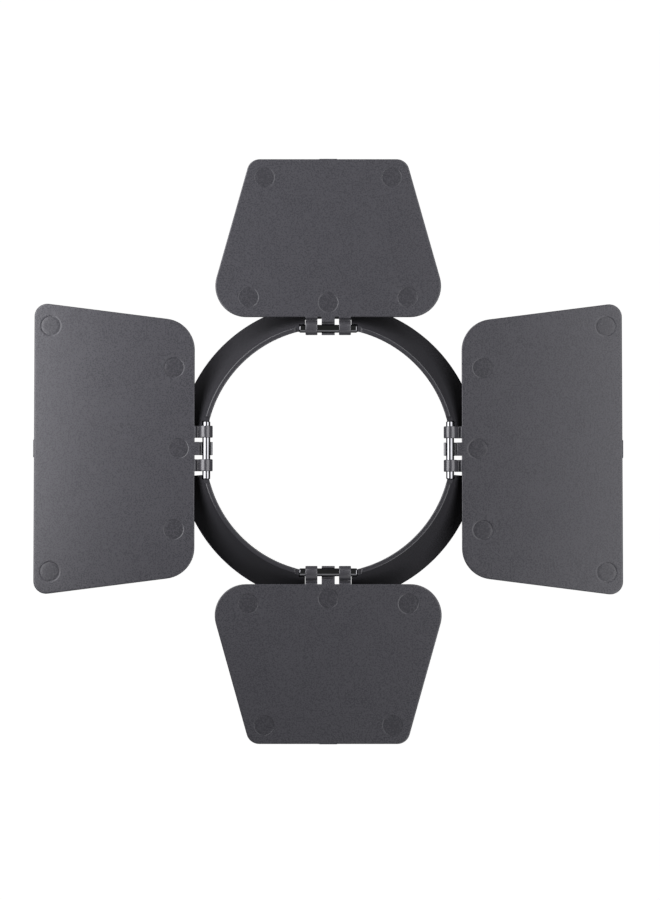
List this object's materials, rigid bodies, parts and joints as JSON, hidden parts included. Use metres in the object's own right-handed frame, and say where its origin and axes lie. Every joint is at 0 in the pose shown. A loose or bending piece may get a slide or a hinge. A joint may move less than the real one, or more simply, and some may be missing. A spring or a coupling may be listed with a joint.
{
  "type": "barn door attachment",
  "caption": "Barn door for a round flash or lamp head: a collar with flat leaves on steel pins that fold to shape the beam.",
  "frame": {"origin": "centre of the collar at its rear seating face", "axes": "+Z along the light's axis out of the front, +Y to the top leaf, +X to the right leaf seen from the front"},
  "size_m": [0.1478, 0.1468, 0.0155],
  "materials": {
    "leaf_plastic": "spark-eroded fine grain",
    "ring_plastic": "satin",
    "pin_steel": "polished",
    "magnet_nickel": "nickel plated"
  },
  "bodies": {
    "ring": {"mount_ring": "ring_plastic", "hinge_pin_right": "pin_steel", "hinge_pin_top": "pin_steel", "hinge_pin_left": "pin_steel", "hinge_pin_bottom": "pin_steel", "magnet_01": "magnet_nickel", "magnet_02": "magnet_nickel", "magnet_03": "magnet_nickel", "magnet_04": "magnet_nickel", "magnet_05": "magnet_nickel", "magnet_06": "magnet_nickel", "magnet_07": "magnet_nickel", "magnet_08": "magnet_nickel", "magnet_09": "magnet_nickel", "magnet_10": "magnet_nickel", "magnet_11": "magnet_nickel", "magnet_12": "magnet_nickel"},
    "right_leaf": {"leaf_right": "leaf_plastic"},
    "top_leaf": {"leaf_top": "leaf_plastic"},
    "left_leaf": {"leaf_left": "leaf_plastic"},
    "bottom_leaf": {"leaf_bottom": "leaf_plastic"}
  },
  "joints": [
    {"name": "right_leaf_hinge", "type": "hinge", "parent": "ring", "child": "right_leaf", "pos_m": [0.03055, 0, 0.0138], "axis": [0, -1, 0], "range_deg": [-20, 90]},
    {"name": "top_leaf_hinge", "type": "hinge", "parent": "ring", "child": "top_leaf", "pos_m": [0, 0.03055, 0.0138], "axis": [1, 0, 0], "range_deg": [-20, 125]},
    {"name": "left_leaf_hinge", "type": "hinge", "parent": "ring", "child": "left_leaf", "pos_m": [-0.03055, 0, 0.0138], "axis": [0, 1, 0], "range_deg": [-20, 90]},
    {"name": "bottom_leaf_hinge", "type": "hinge", "parent": "ring", "child": "bottom_leaf", "pos_m": [0, -0.03055, 0.0138], "axis": [-1, 0, 0], "range_deg": [-20, 125]}
  ]
}
